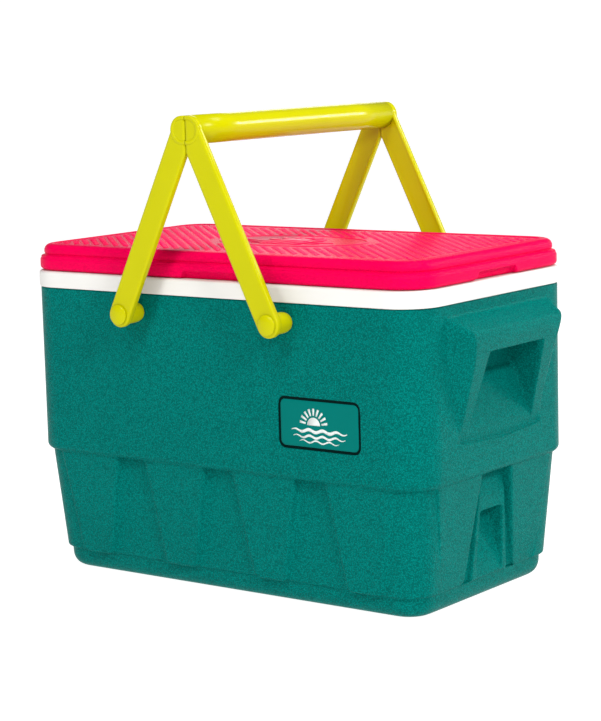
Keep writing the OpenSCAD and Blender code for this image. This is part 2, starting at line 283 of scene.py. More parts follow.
def end_lower(z):
    niche = table(NICHE_EDGE, z)
    edge = table(FRAME_EDGE, z)
    half = pad_half(z)
    near, far = END_PAD_Y - half, END_PAD_Y + half
    return [0, niche * 0.45, niche - 3.2, niche - 1.4,
            niche, niche + BEVEL, edge - BEVEL, edge,
            edge + 1.0, edge + 2.0, near - 2.0, near - 1.0,
            near, near + BEVEL, END_PAD_Y - 0.44 * half, END_PAD_Y, END_PAD_Y + 0.44 * half,
            far - BEVEL, far, far + 1.1, far + 2.4, far + 4.5]


END_LOWER_KIND = ["niche"] * 4 + ["frame"] * 4 + ["recess"] * 4 + ["pad"] * 7 + ["wall"] * 3

SPREAD_TOP_Z = 141.0
SPREAD_FOOT_Z = 129.0


def columns(z):
    """Places of the columns at height z: x of the front ones and y of the end ones."""
    share = min(1.0, max(0.0, (z - SPREAD_FOOT_Z) / (SPREAD_TOP_Z - SPREAD_FOOT_Z)))
    low = max(z, PAD_FOOT_Z)
    front = [lerp(a, b, share) for a, b in zip(front_lower(min(low, PAD_TOP_Z)), FRONT_UPPER)]
    end = [lerp(a, b, share) for a, b in zip(end_lower(min(low, PAD_TOP_Z)), end_upper(max(z, 150)))]
    return front, end


V_LINE_Z = 152.0
V_LINE_SLOPE = 0.055
V_LINE_STEP = 2.0


def v_line(y):
    return V_LINE_Z + V_LINE_SLOPE * abs(y)


def crest_bow(y):
    """The bracket's top creases rise a little towards the middle."""
    return 3.6 * (1 - min(1.0, abs(y) / 80) ** 2)


def upper_inset(kind, z, step):
    """Distance in from the rim of the upper wall. step is the share of the roof already passed."""
    wall = WALL_IN
    if kind == "wall":
        return wall
    if kind == "tongue" and step:
        return max(wall, table(TONGUE_IN, z))
    return wall - table(BRACKET_OUT, z)


def lower_inset(kind, z, side, below_roof):
    wall = lerp(15.6, 7.6, (z - 19.5) / 101.6)
    if kind == "wall":
        return wall
    if kind == "gap":
        return wall + lerp(1.5, 3.4, max(0.0, (z - 60) / 60) ** 1.5)
    if kind == "pad":
        return lerp(12.4 if side == "front" else 16.2, 5.2, (z - 21) / 100.1)
    if kind == "recess":
        return lerp(19.5, 16.0, (z - 21) / 99.5)
    if kind == "niche" and below_roof:
        return table([(23, 16.1), (75, 27.0), (78, 28.0), (90, 28.0)], z)
    return table([(21, 15.9), (98.5, 11.2), (120.5, 16.0)], z)


class Row:
    """One ring of the shell. front_z and end_z(y) are its height; inset(kind, side, z) its depth."""

    def __init__(self, front_z, inset, radius, end_z=None, layout_z=None):
        self.front_z = front_z
        self.inset = inset
        self.radius = radius
        self.end_z = end_z or (lambda y: front_z)
        self.layout_z = layout_z if layout_z is not None else front_z


def shell_rows():
    rows = []

    def upper(z, end_z=None, roof=False):
        rows.append(Row(z, lambda kind, side, h: upper_inset(kind if side == "end" else "wall", h, roof),
                        WALL_R, end_z))

    for z, depth in ((WALL_TOP, NECK_IN), (290, NECK_IN), (284.6, NECK_IN), (283.6, NECK_IN - 0.1),
                     (283.2, NECK_IN - 0.6), (282.9, WALL_IN + 0.3), (282.4, WALL_IN)):
        rows.append(Row(z, lambda kind, side, h, d=depth: d, RIM_R - depth))
    for z in (280, 277.5):
        upper(z)
    for z in (274.6, 272.6, 270.6, 267.5, 264, 261.2, 258.8, 255.5):
        share = (z - 253) / 22
        bow = share * (1.0 if z < 265 else 0.25)
        upper(z, lambda y, z=z, share=share, bow=bow: z - 1.8 * share + crest_bow(y) * bow)
    for z in (250.5, 245, 241.2, 239.3, 238):
        upper(z)
    for z in (236.4, 235.1, 233, 225, 218, 215.2, 213.9, 212.7, 211.3, 209.2, 206,
              POCKET_TOP_Z, 197.6, 192, 182, 173, 167.5):
        upper(z, roof=True)

    # the shallow V-shaped step below the bracket
    for front_z, rise, depth in ((163, 7.5, 0.3), (158, 2.0, 0.9), (155.2, 0.5, 1.0),
                                 (153.4, -0.3, -0.45), (150.6, -2.2, 0.0)):
        def inset(kind, side, z, depth=depth):
            return WALL_IN + (V_LINE_STEP * depth if side == "end" and kind != "wall" else 0)
        rows.append(Row(front_z, inset, WALL_R, lambda y, rise=rise: v_line(y) + rise))
    for z in (POCKET_FOOT_Z, 141, 135, 129):
        rows.append(Row(z, lambda kind, side, h: WALL_IN, WALL_R))

    # rounded lip of the skirt, quarter circle into the underside
    lip_r = 5.8
    for degrees in (0, 20, 42, 64):
        t = math.radians(degrees)
        z = SKIRT_Z + lip_r - lip_r * math.sin(t)
        depth = WALL_IN + lip_r - lip_r * math.cos(t)
        rows.append(Row(z, lambda kind, side, h, d=depth: min(d, 4.6) if kind == "pad" else d,
                        WALL_R - lip_r / 3 * (1 - math.cos(t)), layout_z=PAD_TOP_Z))
    under = {"wall": (6.4, 7.4), "gap": (9.6, 10.7), "pad": (4.9, 5.1), "recess": (13.5, 15.5),
             "frame": (13.5, 15.6), "niche": (13.5, 15.6)}
    for i, z in enumerate((SKIRT_Z, SKIRT_Z - 0.1)):
        rows.append(Row(z, lambda kind, side, h, i=i: under[kind][i], 29.5, layout_z=PAD_TOP_Z))

    def lower(z, below_roof=False, extra=0.0, layout_z=None):
        rows.append(Row(z, lambda kind, side, h: lower_inset(kind, h, side, below_roof) + extra,
                        lerp(25, 27, (z - 19.5) / 100), layout_z=layout_z))

    for z in (119.9, 118.4, 111, 104, 100, 98.5, 96.7, 91, 86.6, 85.3, 84.5):
        lower(z)
    for z in (83.2, 81.8, 78.5, 75, 63, 50, 38, 30, 26.6, 24.6, 23, 21.8):
        lower(z, below_roof=True)
    lower(21.0, True, 0.35, layout_z=21.0)
    lower(20.4, True, 1.2, layout_z=20.7)

    # underside, plinth and sole
    for z, depth, radius in ((20.0, 17.3, 25.4), (19.8, 18.2, 25.2), (19.0, 18.5, 25), (16, 18.6, 25),
                             (12, 18.8, 24.8), (8.5, 19.6, 24.2), (5.2, 21.2, 23), (2.4, 23.8, 21),
                             (0.7, 27, 19), (0, 31, 17), (0, 44, 14), (0.3, 45.5, 13.5),
                             (2.2, 47.5, 13), (2.5, 49, 13), (2.5, 62, 12)):
        rows.append(Row(z, lambda kind, side, h, d=depth: d, radius, layout_z=20.6))
    return rows


def shell_loop(row):
    """The full ring of points of one row."""
    front_x, _ = columns(row.layout_z)
    wall_plan = Plan(row.inset("wall", "front", row.front_z), row.radius)
    upper_part = row.front_z > SPREAD_FOOT_Z - 1
    front_kind = ["wall"] * len(front_x) if upper_part else FRONT_LOWER_KIND
    end_kind = END_UPPER_KIND if upper_part else END_LOWER_KIND
    quarter = []
    for x, kind in zip(front_x, front_kind):
        plan = Plan(row.inset(kind, "front", row.front_z), row.radius)
        px, py = plan.point(plan.s_front(x))
        quarter.append((px, py, row.front_z))

    # an end column's height may depend on its y, and its y on its height, so settle them together
    end_points = []
    for k, kind in enumerate(end_kind):
        z = row.front_z
        for _ in range(3):
            height = z if upper_part else row.layout_z
            y = columns(height)[1][k]
            z = row.end_z(y) if upper_part else row.front_z
        plan = Plan(row.inset(kind, "end", z), row.radius)
        px, py = plan.point(plan.s_end(y))
        end_points.append((px, py, z, y))

    start = wall_plan.s_front(front_x[-1])
    stop = wall_plan.s_end(end_points[-1][3])
    for i in range(1, CORNER_COLUMNS + 1):
        t = i / (CORNER_COLUMNS + 1)
        px, py = wall_plan.point(lerp(start, stop, t))
        quarter.append((px, py, lerp(row.front_z, end_points[-1][2], t)))
    quarter += [p[:3] for p in reversed(end_points)]
    return mirror_quarter(quarter)


POCKET_MARGIN = 0.9
POCKET_DEPTH = 2.5


def pocket_loops(boundary):
    """Loops from a rectangle on the front wall to the floor of the badge pocket."""
    hx = BADGE_HX + POCKET_MARGIN
    hz = BADGE_HZ + POCKET_MARGIN
    wall_y = boundary[0][1]
    x0, x1 = min(p[0] for p in boundary), max(p[0] for p in boundary)
    z0, z1 = min(p[2] for p in boundary), max(p[2] for p in boundary)

    def rounded(grow, depth):
        loop = []
        r = 7 + grow
        for x, _, z in boundary:
            u = lerp(-1, 1, (x - x0) / (x1 - x0)) * (hx + grow)
            v = lerp(-1, 1, (z - z0) / (z1 - z0)) * (hz + grow)
            ex = abs(u) - (hx + grow - r)
            ez = abs(v) - (hz + grow - r)
            if ex > 0 and ez > 0:
                length = math.hypot(ex, ez)
                u = math.copysign(hx + grow - r + r * ex / length, u)
                v = math.copysign(hz + grow - r + r * ez / length, v)
            loop.append((BADGE_X + u, wall_y + depth, BADGE_Z + v))
        return loop

    return [rounded(grow, depth) for grow, depth in
            ((0.9, 0), (0.35, 0.12), (0.05, 0.6), (0, 1.4), (-0.1, 2.2), (-0.4, POCKET_DEPTH),
             (-3.0, POCKET_DEPTH))]


def build_outer_shell(material):
    rows = shell_rows()
    loops = [shell_loop(row) for row in rows]
    verts, faces = loops_to_mesh(loops, cap_last=True)
    count = len(loops[0])
    top = min(i for i, r in enumerate(rows) if abs(r.front_z - POCKET_TOP_Z) < 1e-6)
    foot = min(i for i, r in enumerate(rows) if abs(r.front_z - POCKET_FOOT_Z) < 1e-6)
    inside = set()
    for row in range(top, foot):
        for col in range(POCKET_FIRST, POCKET_LAST):
            inside.add((row * count + col, row * count + col + 1,
                        (row + 1) * count + col + 1, (row + 1) * count + col))
    faces = [f for f in faces if tuple(f) not in inside]
    edge = [top * count + c for c in range(POCKET_FIRST, POCKET_LAST)]
    edge += [r * count + POCKET_LAST for r in range(top, foot)]
    edge += [foot * count + c for c in range(POCKET_LAST, POCKET_FIRST, -1)]
    edge += [r * count + POCKET_FIRST for r in range(foot, top, -1)]
    previous = edge
    for loop in pocket_loops([verts[i] for i in edge]):
        current = list(range(len(verts), len(verts) + len(loop)))
        verts += loop
        for i in range(len(loop)):
            j = (i + 1) % len(loop)
            faces.append((previous[i], previous[j], current[j], current[i]))
        previous = current
    faces.append(tuple(previous))
    obj = mesh_object("outer_shell_skin", verts, faces, material, "chest", ["outer_shell"])
    solidify(obj, 2.4)
    subdivide(obj, 1)
    return obj


# ---- liner, with the white band of the rim ----


def build_liner(material):
    band_z = RIM_Z - BAND_H
    mouth_x, mouth_y, mouth_r = 208.0, 112.3, 26.0
    foot_x, foot_y, foot_r = 197.0, 95.3, 22.0
    floor_z = 26.0
    loops = []
    for inset, z in ((0.9, band_z), (0.25, band_z + 0.25), (0.0, band_z + 1.0), (0.0, band_z + 4),
                     (0.0, RIM_Z - 5), (0.02, RIM_Z - 2.8), (0.5, RIM_Z - 1.3), (1.7, RIM_Z - 0.4),
                     (3.6, RIM_Z), (10, RIM_Z)):
        loops.append(ring(RIM_X - inset, RIM_Y - inset, RIM_R - inset * 0.9, z))

    def wall(grow, z):
        t = (z - floor_z) / (RIM_Z - floor_z)
        return ring(lerp(foot_x, mouth_x, t) + grow, lerp(foot_y, mouth_y, t) + grow,
                    lerp(foot_r, mouth_r, t) + grow, z)

    for grow, z in ((7.0, RIM_Z), (3.4, RIM_Z - 0.1), (1.2, RIM_Z - 1.0), (0.2, RIM_Z - 3.0)):
        loops.append(wall(grow, z))
    for z in (288, 270, 220, 160, 100, 60, 44):
        loops.append(wall(0, z))
    for grow, z in ((-0.6, 37), (-2.6, 31.5), (-6.5, 27.6), (-11.5, 26.2), (-17, 26), (-40, 26)):
        loops.append(wall(grow, z))
    verts, faces = loops_to_mesh(loops, cap_last=True)
    obj = mesh_object("liner_skin", verts, faces, material, "chest", ["liner"])
    solidify(obj, 2.2)
    subdivide(obj, 2)
    return obj


# ---- lid ----

NOTCH_HALF = 36.0
NOTCH_SLANT = 5.5
LID_Z = LID_LOW.z
LID_TOP = LID_HIGH.z


def notch_half(z):
    """Half width of a finger notch, narrower towards its top."""
    return NOTCH_HALF - NOTCH_SLANT * min(1.0, max(0.0, (z - LID_Z) / 8))


def lid_side(half_length, z):
    """Places along one half side of the lid: across the notch, then on to the corner."""
    half = notch_half(z)
    inner = half - 1.1
    outer = [half, half + 1.0, half + 2.4]
    rest = [lerp(half + 2.4, half_length, t) for t in (0.25, 0.5, 0.75, 1.0)]
    return [0, inner * 0.4, inner * 0.75, inner - 2.2, inner] + outer + rest


LID_KIND = ["notch"] * 5 + ["flange"] * 7


def lid_loop(z, inset, notch_inset, radius):
    plans = {"notch": Plan(notch_inset, radius), "flange": Plan(inset, radius)}
    base = plans["flange"]
    quarter = []
    for x, kind in zip(lid_side(base.a, z), LID_KIND):
        quarter.append((x, plans[kind].hy, z))
    arc = 9
    for i in range(1, arc):
        px, py = base.point(base.a + base.r * math.pi / 2 * i / arc)
        quarter.append((px, py, z))
    for y, kind in reversed(list(zip(lid_side(base.b, z), LID_KIND))):
        quarter.append((plans[kind].hx, y, z))
    return mirror_quarter(quarter)


def build_lid_cover(material):
    loops = []
    # flange from the hidden underside up, as (height, inset, inset within a notch)
    flange = ((300.9, 8.6, 9.4), (299.1, 8.2, 9.0), (298.8, 6.8, 8.8), (298.8, 4.6, 8.6),
              (299.4, 3.8, 8.2), (300.6, 2.2, 7.7), (301.7, 1.5, 7.3), (303.2, 1.5, 6.7),
              (304.6, 1.5, 5.6), (305.9, 1.5, 3.6), (306.7, 1.5, 1.75), (307.3, 1.5, 1.5),
              (308.3, 1.5, 1.5), (309.4, 1.6, 1.6), (310.5, 2.05, 2.05), (311.1, 2.6, 2.6),
              (311.5, 2.7, 2.7), (311.9, 2.45, 2.45), (312.4, 2.7, 2.7), (313.0, 3.5, 3.5),
              (313.2, 5.0, 5.0), (313.6, 6.5, 6.5), (314.4, 6.5, 6.5), (315.0, 5.7, 5.7), (316.2, 5.55, 5.55))
    for z, inset, notch in flange:
        loops.append(lid_loop(z + LID_Z - 298.8, inset, notch, RIM_R - inset * 0.9))
    round_r = 6.9
    for degrees in (8, 24, 40, 56, 72, 86):
        t = math.radians(degrees)
        inset = 5.6 + round_r * (1 - math.cos(t))
        z = LID_TOP - round_r + round_r * math.sin(t)
        loops.append(lid_loop(z, inset, inset, RIM_R - inset))
    for z, inset in ((LID_TOP, 13.6), (LID_TOP - 0.1, 14.3), (LID_TOP - 0.6, 15.2), (LID_TOP - 1.2, 16.4),
                     (LID_TOP - 1.4, 17.8), (LID_TOP - 1.4, 19.2), (LID_TOP - 1.2, 20.0),
                     (LID_TOP - 0.8, 20.5), (LID_TOP - 0.7, 21.2), (LID_TOP - 0.7, 34)):
        loops.append(lid_loop(z, inset, inset, max(12, RIM_R - inset)))
    verts, faces = loops_to_mesh(loops, cap_last=True)
    obj = mesh_object("lid_cover_skin", verts, faces, material, "lid", ["lid_cover"])
    solidify(obj, 2.0)
    subdivide(obj, 1)
    return obj


DASH_PITCH_X = 6.4
DASH_PITCH_Y = 12.4
DASH_LENGTH = 7.4
DASH_WIDTH = 2.6
DASH_H = 0.6
PANEL_Z = LID_TOP - 0.7


def motif_distance(x, y):
    """Signed distance to the smooth oval in the middle of the lid, negative inside."""
    return (math.hypot(x / 86, y / 50) - 1) * 50


def raised_shape(verts, faces, outline, z, height, bevel):
    """Adds a low raised shape with a bevelled edge; outline is a loop seen from above."""
    start = len(verts)
    count = len(outline)
    cx = sum(p[0] for p in outline) / count
    cy = sum(p[1] for p in outline) / count
    for inward, level in ((0.0, -0.4), (0.0, 0.0), (0.35, 0.75), (1.0, 1.0)):
        for x, y in outline:
            length = math.hypot(x - cx, y - cy)
            share = 1 - inward * bevel / max(length, bevel)
            verts.append((cx + (x - cx) * share, cy + (y - cy) * share, z + height * level))
    for level in range(3):
        for k in range(count):
            m = (k + 1) % count
            a, b = start + count * level, start + count * (level + 1)
            faces.append((a + k, a + m, b + m, b + k))
    faces.append(tuple(range(start + 3 * count, start + 4 * count)))
    faces.append(tuple(range(start + count - 1, start - 1, -1)))


def dash_outline(x, y):
    lx, ly = DASH_WIDTH / 2, DASH_LENGTH / 2
    cut = 0.8
    return [(x + u, y + v) for u, v in
            ((lx, cut - ly), (lx, ly - cut), (lx - cut, ly), (cut - lx, ly),
             (-lx, ly - cut), (-lx, cut - ly), (cut - lx, -ly), (lx - cut, -ly))]


def build_lid_dashes(material):
    """Raised dashes in running bond over the panel, round the oval in its middle."""
    hx, hy, r = RIM_X - 23.5, RIM_Y - 23.5, 13.0
    verts, faces = [], []
    cols = int(hx // DASH_PITCH_X)
    rows = int(hy // DASH_PITCH_Y) + 1
    for i in range(-cols, cols + 1):
        for j in range(-rows, rows + 1):
            x = i * DASH_PITCH_X
            y = (j + 0.5 * (i % 2)) * DASH_PITCH_Y
            ex, ey = abs(x) - (hx - r), abs(y) + DASH_LENGTH / 2 - (hy - r)
            outside = abs(y) + DASH_LENGTH / 2 > hy or (ex > 0 and ey > 0 and math.hypot(ex, ey) > r)
            if outside or motif_distance(x, y) < 5:
                continue
            raised_shape(verts, faces, dash_outline(x, y), PANEL_Z, DASH_H, 0.9)
    return mesh_object("lid_panel_dashes", verts, faces, material, "lid")


def sun_outlines(radius, inner, outer, count, width):
    """Half disc and the rays round it, as loops in a plane with its flat side along u."""
    disc = [(radius * math.cos(math.pi * i / 20), radius * math.sin(math.pi * i / 20)) for i in range(21)]
    shapes = [disc]
    for i in range(count):
        t = math.pi * (i + 0.5) / count
        c, s = math.cos(t), math.sin(t)
        ray = [(inner, -width * 0.7), (outer, -width), (outer, width), (inner, width * 0.7)]
        shapes.append([(u * c - v * s, u * s + v * c) for u, v in ray])
    return shapes


def wave_outline(half, rise, width, v0, waves=3, steps=36):
    """A wavy bar, as a loop."""
    upper, lower = [], []
    for i in range(steps + 1):
        u = lerp(-half, half, i / steps)
        v = v0 + rise * math.sin(2 * math.pi * waves * i / steps)
        taper = min(1.0, 0.25 + 3 * min(i, steps - i) / steps)
        upper.append((u, v + width / 2 * taper))
        lower.append((u, v - width / 2 * taper))
    return lower + upper[::-1]


def build_lid_motif(material):
    """Sun over waves, embossed in the oval in the middle of the lid."""
    verts, faces = [], []
    for outline in sun_outlines(17, 21, 33, 7, 2.6):
        raised_shape(verts, faces, outline, PANEL_Z, 0.7, 1.0)
    for k, half in enumerate((54, 44, 30)):
        outline = wave_outline(half, 1.6, 4.4, -8 - 9.5 * k)
        count = len(outline) // 2
        for i in range(count - 1):
            quad = [outline[i], outline[i + 1], outline[-i - 2], outline[-i - 1]]
            start = len(verts)
            verts += [(x, y, PANEL_Z - 0.3) for x, y in quad] + [(x, y, PANEL_Z + 0.7) for x, y in quad]
            faces.append((start + 4, start + 5, start + 6, start + 7))
            faces.append((start + 1, start, start + 4, start + 5)[::-1])
            faces.append((start + 3, start + 2, start + 6, start + 7)[::-1])
            if i in (0, count - 2):
                side = (0, 3, 7, 4) if i == 0 else (1, 2, 6, 5)
                faces.append(tuple(start + n for n in side))
    steps = 72
    border = []
    for offset, rise in ((0.0, -0.21), (0.25, 0.56), (0.7, 0.7), (1.5, 0.7), (1.95, 0.56), (2.2, -0.21)):
        border.append([((84 - offset) * math.cos(2 * math.pi * i / steps),
                        (48 - offset) * math.sin(2 * math.pi * i / steps),
                        PANEL_Z + rise) for i in range(steps)])
    verts, faces = join_shells([(verts, faces), loops_to_mesh(border)])
    return mesh_object("lid_motif", verts, faces, material, "lid")


# ---- handles ----

PIVOT_X = 88.0
PIVOT_Z = 266.0
GRIP_Z = 439.2
GRIP_R = 13.2
GRIP_C = 3.5
SEAM = 0.3
LEG_R = 12.0
LEG_OUT_Y = GRIP_HIGH.y
LEG_T = 7.5
LEG_IN_Y = LEG_OUT_Y - LEG_T


def leg_outline(inset, arc_points=14):
    """Outline in X and Z of the left handle seen from the front: leg, pivot eye and half grip."""
    r = GRIP_R - inset
    eye = LEG_R - inset
    seam_x = -SEAM - inset
    dx, dz = PIVOT_X - GRIP_C, GRIP_Z - PIVOT_Z
    length = math.hypot(dx, dz)
    ux, uz = dx / length, dz / length
    points = [(seam_x, GRIP_Z + r)]
    lean = math.atan2(uz, ux)
    start = math.pi / 2
    meet = math.asin(eye / r)
    stop = lean + math.pi - meet
    for i in range(arc_points + 1):
        t = lerp(start, stop, i / arc_points)
        points.append((-GRIP_C + r * math.cos(t), GRIP_Z + r * math.sin(t)))
    for share in (0.25, 0.5, 0.75):
        points.append((lerp(-GRIP_C - uz * eye, -PIVOT_X - uz * eye, share),
                       lerp(GRIP_Z + ux * eye, PIVOT_Z + ux * eye, share)))
    for i in range(2 * arc_points + 1):
        t = lean + math.pi / 2 + math.pi * i / (2 * arc_points)
        points.append((-PIVOT_X + eye * math.cos(t), PIVOT_Z + eye * math.sin(t)))
    right_x, right_z = -PIVOT_X + uz * eye, PIVOT_Z - ux * eye
    reach = (seam_x - right_x) / ux
    for share in (0.25, 0.5, 0.75, 1.0):
        points.append((right_x + ux * reach * share, right_z + uz * reach * share))
    last_z = points[-1][1]
    for share in (0.33, 0.66):
        points.append((seam_x, lerp(last_z, GRIP_Z + r, share)))
    return points


def grip_outline(inset, arc_points=16):
    """Outline in X and Z of the left half of the grip."""
    r = GRIP_R - inset
    seam_x = -SEAM - inset
    points = [(seam_x, GRIP_Z + r)]
    for i in range(arc_points + 1):
        t = math.pi / 2 + math.pi * i / arc_points
        points.append((-GRIP_C + r * math.cos(t), GRIP_Z + r * math.sin(t)))
    points.append((seam_x, GRIP_Z - r))
    for share in (0.25, 0.5, 0.75):
        points.append((seam_x, lerp(GRIP_Z - r, GRIP_Z + r, share)))
    return points


LEG_FACE_Y = LEG_OUT_Y - 0.7


def leg_shell(side):
    """Closed solid of one leg, edges rounded; side is -1 for the front leg and 1 for the back one."""
    loops = []
    for inset, y in ((3.0, LEG_IN_Y + 0.5), (2.6, LEG_IN_Y + 0.4), (2.1, LEG_IN_Y), (1.3, LEG_IN_Y),
                     (0.45, LEG_IN_Y + 0.3), (0.0, LEG_IN_Y + 1.2), (0.0, LEG_FACE_Y - 1.5),
                     (0.35, LEG_FACE_Y - 0.8), (1.1, LEG_FACE_Y - 0.35), (1.6, LEG_FACE_Y - 0.3),
                     (2.2, LEG_FACE_Y), (3.0, LEG_FACE_Y)):
        loops.append([(x, side * y, z) for x, z in leg_outline(inset)])
    return loops_to_mesh(loops, cap_first=True, cap_last=True)


def grip_ring(side):
    """Raised half ring on the end of the grip, round a shallow recess."""
    section = ((0.1, -1.2), (0.1, 0.15), (0.45, 0.5), (1.2, 0.7), (2.7, 0.7), (3.3, 0.55), (3.8, 0.1),
               (4.0, -0.8))
    loops = []
    steps = 24
    seam_x = -SEAM - 0.1
    places = [(seam_x, 90.0), (lerp(seam_x, -GRIP_C, 0.5), 90.0)]
    places += [(-GRIP_C, 90.0 + 180.0 * i / steps) for i in range(steps + 1)]
    places += [(lerp(seam_x, -GRIP_C, 0.5), 270.0), (seam_x, 270.0)]
    for x, degrees in places:
        t = math.radians(degrees)
        loops.append([(x + (GRIP_R - inset) * math.cos(t), side * (LEG_FACE_Y + out),
                       GRIP_Z + (GRIP_R - inset) * math.sin(t)) for inset, out in section])
    return loops_to_mesh(loops, cap_first=True, cap_last=True)


def grip_shell():
    loops = [[(x, y, z) for x, z in grip_outline(0.0)]
             for y in (-LEG_IN_Y - 2, -100, -50, 0, 50, 100, LEG_IN_Y + 2)]
    return loops_to_mesh(loops, cap_first=True, cap_last=True)


def join_shells(parts):
    verts, faces = [], []
    for part_verts, part_faces in parts:
        start = len(verts)
        verts += part_verts
        faces += [tuple(i + start for i in f) for f in part_faces]
    return verts, faces


def build_handle(name, direction, material, body, node):
    """direction is 1 for the left handle and -1 for its mirror image."""
    verts, faces = join_shells([leg_shell(-1), leg_shell(1), grip_shell(), grip_ring(-1), grip_ring(1)])
    verts = [(direction * x, y, z) for x, y, z in verts]
    return mesh_object(name, verts, faces, material, body, [node])


def lathe(profile, steps=64):
    """Loops of a turned piece about the origin's Y axis; profile is (radius, distance out)."""
    loops = []
    for radius, out in profile:
        loops.append([(radius * math.cos(2 * math.pi * i / steps), out,
                       radius * math.sin(2 * math.pi * i / steps)) for i in range(steps)])
    return loops


def build_pivots(material):
    """Domed pin heads and the hubs behind the legs, four of each."""
    wall_y = RIM_Y - WALL_IN
    cap_profile = [(4.0, LEG_FACE_Y + 0.3), (9.3, LEG_FACE_Y + 0.3), (9.7, LEG_FACE_Y + 0.6),
                   (9.75, LEG_OUT_Y + 0.6), (9.45, LEG_OUT_Y + 1.35), (8.6, LEG_OUT_Y + 1.85),
                   (7.0, LEG_OUT_Y + 2.45), (5.0, LEG_OUT_Y + 2.95), (2.5, LEG_OUT_Y + 3.3),
                   (0.4, LEG_OUT_Y + 3.42)]
    hub_profile = [(4.1, wall_y + 0.1), (8.2, wall_y + 0.1), (8.6, wall_y + 0.4), (9.1, wall_y + 1.6),
                   (9.6, wall_y + 4), (9.9, wall_y + 7.5), (10.0, wall_y + 12), (10.0, LEG_IN_Y - 1.7),
                   (9.8, LEG_IN_Y - 0.8), (9.2, LEG_IN_Y - 0.35), (4.1, LEG_IN_Y - 0.35)]
    for front, side_y in (("front", -1), ("back", 1)):
        for hand, side_x in (("left", -1), ("right", 1)):
            for kind, profile in (("pin_head", cap_profile), ("hub", hub_profile)):
                loops = [[(side_x * PIVOT_X + x, side_y * y, PIVOT_Z + z) for x, y, z in loop]
                         for loop in lathe(profile)]
                verts, faces = loops_to_mesh(loops, cap_first=True, cap_last=True)
                node = f"pivot_pin_{front}_{hand}" if kind == "pin_head" else f"pivot_hub_{front}_{hand}"
                mesh_object(f"{kind}_{front}_{hand}", verts, faces, material, "chest",
                            [node])


# ---- badge ----

BADGE_GROOVE = 1.7


def badge_loop(hx, hz, r, y):
    """Rounded rectangle about the middle of the badge, in a plane parallel to the front wall."""
    return [(BADGE_X + x, y, BADGE_Z + z) for x, z, _ in ring(hx, hz, r, 0, 6, 6)]


def build_badge(material):
    hx, hz = BADGE_HX - BADGE_GROOVE, BADGE_HZ - BADGE_GROOVE
    back_y, face_y = BADGE_HIGH.y, BADGE_LOW.y
    loops = []
    for inset, y in ((0.0, back_y), (0.0, lerp(back_y, face_y, 0.6)), (0.15, lerp(back_y, face_y, 0.85)),
                     (0.5, face_y), (3.0, face_y)):
        loops.append(badge_loop(hx - inset, hz - inset, 5 - inset * 0.8, y))
    verts, faces = loops_to_mesh(loops, cap_first=True, cap_last=True)
    return mesh_object("badge_plate_skin", verts, faces, material, "chest", ["badge_plate"])


def build_badge_groove_shadow(material):
    """Painted shadow: a near-black ring in the groove round the badge plate, standing in for the shade in the
    groove.
    """
    back_y = BADGE_HIGH.y
    shadow_y = lerp(back_y, BADGE_LOW.y, 0.45)
    loops = []
    for inset, y in ((-0.85, back_y), (-0.85, shadow_y - 0.3), (-0.4, shadow_y), (1.4, shadow_y),
                     (2.2, shadow_y - 0.1), (2.2, back_y)):
        loops.append(badge_loop(BADGE_HX - inset, BADGE_HZ - inset, 6 - inset, y))
    verts, faces = loops_to_mesh(loops)
    return mesh_object("badge_groove_painted_shadow", verts, faces, material, "chest")


def build_badge_print(material):
    """Plain printed mark on the badge plate: a half sun with rays over wavy bars."""
    verts, faces = [], []
    back, face = BADGE_LOW.y + 0.2, BADGE_LOW.y - 0.06

    def plate(quad):
        start = len(verts)
        verts.extend((BADGE_X + u, back, BADGE_Z + v) for u, v in quad)
        verts.extend((BADGE_X + u, face, BADGE_Z + v) for u, v in quad)
        count = len(quad)
        faces.append(tuple(range(start + count, start + 2 * count)))
        faces.append(tuple(range(start + count - 1, start - 1, -1)))
        for k in range(count):
            m = (k + 1) % count
            faces.append((start + k, start + m, start + count + m, start + count + k))

    for outline in sun_outlines(7.2, 9.0, 15.5, 9, 1.15):
        plate([(u - 6, v - 0.8) for u, v in outline])
    for half, width, v0, waves in ((31, 3.0, -6.0, 4), (29, 2.2, -11.4, 4), (22, 1.5, -15.8, 3)):
        outline = wave_outline(half, 1.1, width, v0, waves, 48)
        count = len(outline) // 2
        for i in range(count - 1):
            plate([outline[i], outline[i + 1], outline[-i - 2], outline[-i - 1]])
    return mesh_object("badge_print", verts, faces, material, "chest")


# ---- materials ----

# Base colours, linear
TEAL = (0.0002, 0.204, 0.177)
BADGE_TEAL = (0.0002, 0.145, 0.126)
# painted shadow: near-black colour of the ring that stands in for the shade in the badge groove
GROOVE_SHADOW_PAINT = (0.0001, 0.010, 0.009)
PINK = (0.89, 0.0003, 0.080)
PINK_RELIEF = (0.95, 0.0005, 0.095)
LIME = (0.48, 0.465, 0.0002)
WHITE = (0.72, 0.705, 0.675)
INK_WHITE = (0.62, 0.66, 0.64)
GREY = (0.3, 0.3, 0.31)

# Grains per metre, and the height of the faint waviness of the smooth pieces
GRAIN_SCALE = 800
ORANGE_PEEL_MM = 0.02


def new_material(name):
    mat = bpy.data.materials.new(name)
    mat.use_nodes = True
    tree = mat.node_tree
    tree.nodes.clear()
    out = tree.nodes.new("ShaderNodeOutputMaterial")
    shader = tree.nodes.new("ShaderNodeBsdfPrincipled")
    tree.links.new(shader.outputs["BSDF"], out.inputs["Surface"])
    return mat, tree, shader


def noise(tree, coords, scale, detail, roughness=0.5):
    node = tree.nodes.new("ShaderNodeTexNoise")
    node.inputs["Scale"].default_value = scale
    node.inputs["Detail"].default_value = detail
    node.inputs["Roughness"].default_value = roughness
    tree.links.new(coords, node.inputs["Vector"])
    return node.outputs["Fac"]


def math_node(tree, operation, a, b):
    node = tree.nodes.new("ShaderNodeMath")
    node.operation = operation
    for socket, value in zip(node.inputs, (a, b)):
        if isinstance(value, (int, float)):
            socket.default_value = value
        else:
            tree.links.new(value, socket)
    return node.outputs[0]


